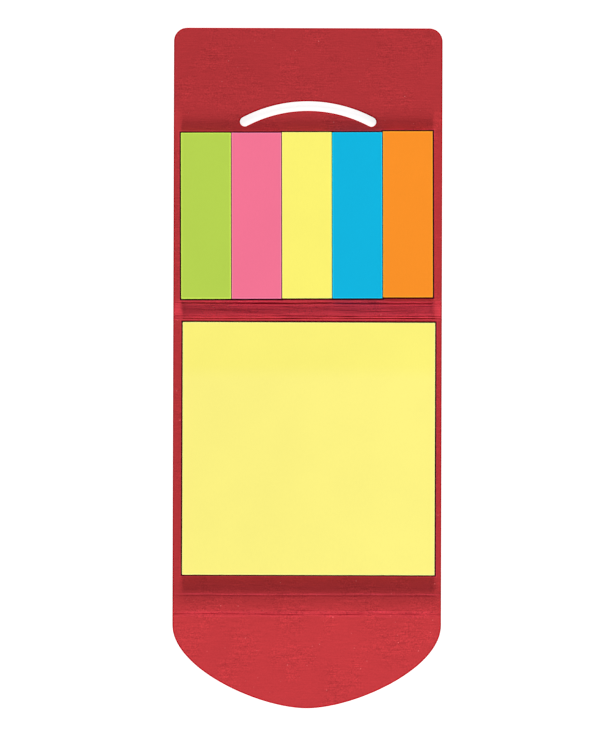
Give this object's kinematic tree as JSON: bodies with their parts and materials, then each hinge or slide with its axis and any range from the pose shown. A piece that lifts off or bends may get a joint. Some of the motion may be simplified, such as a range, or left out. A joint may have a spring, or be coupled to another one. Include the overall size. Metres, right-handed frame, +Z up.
{
  "type": "sticky note case",
  "caption": "Folding leatherette case, lying open, with a square sticky note pad, a row of page-flag pads, and a tongued flap that tucks into an arc slot.",
  "frame": {"origin": "middle of the open case on its outer face, which lies on the table", "axes": "+X across the case to the right, +Y along the open case to the front cover's free edge, +Z up out of the inner face"},
  "size_m": [0.081, 0.2052, 0.0032],
  "materials": {
    "red_leatherette": "satin",
    "note_paper": "matte",
    "flag_paper_green": "matte",
    "flag_paper_pink": "matte",
    "flag_paper_yellow": "matte",
    "flag_paper_blue": "matte",
    "flag_paper_orange": "matte",
    "mounting_tape": "satin"
  },
  "bodies": {
    "back": {"back_cover": "red_leatherette", "note_pad": "note_paper", "note_tape_upper": "mounting_tape", "note_tape_lower": "mounting_tape"},
    "spine": {"spine": "red_leatherette"},
    "front": {"front_cover": "red_leatherette", "flag_pad_green": "flag_paper_green", "flag_pad_pink": "flag_paper_pink", "flag_pad_yellow": "flag_paper_yellow", "flag_pad_blue": "flag_paper_blue", "flag_pad_orange": "flag_paper_orange", "flag_tape": "mounting_tape"},
    "gusset": {"flap_gusset": "red_leatherette"},
    "flap": {"closing_flap": "red_leatherette"}
  },
  "joints": [
    {"name": "spine_fold", "type": "hinge", "parent": "back", "child": "spine", "pos_m": [0, 0.01526, 0.001], "axis": [1, 0, 0], "range_deg": [0, 90]},
    {"name": "cover_fold", "type": "hinge", "parent": "spine", "child": "front", "pos_m": [0, 0.01956, 0.001], "axis": [1, 0, 0], "range_deg": [0, 90]},
    {"name": "gusset_fold", "type": "hinge", "parent": "back", "child": "gusset", "pos_m": [0, -0.06824, 0.001], "axis": [-1, 0, 0], "range_deg": [0, 90]},
    {"name": "flap_fold", "type": "hinge", "parent": "gusset", "child": "flap", "pos_m": [0, -0.07394, 0.001], "axis": [-1, 0, 0], "range_deg": [0, 90]}
  ]
}
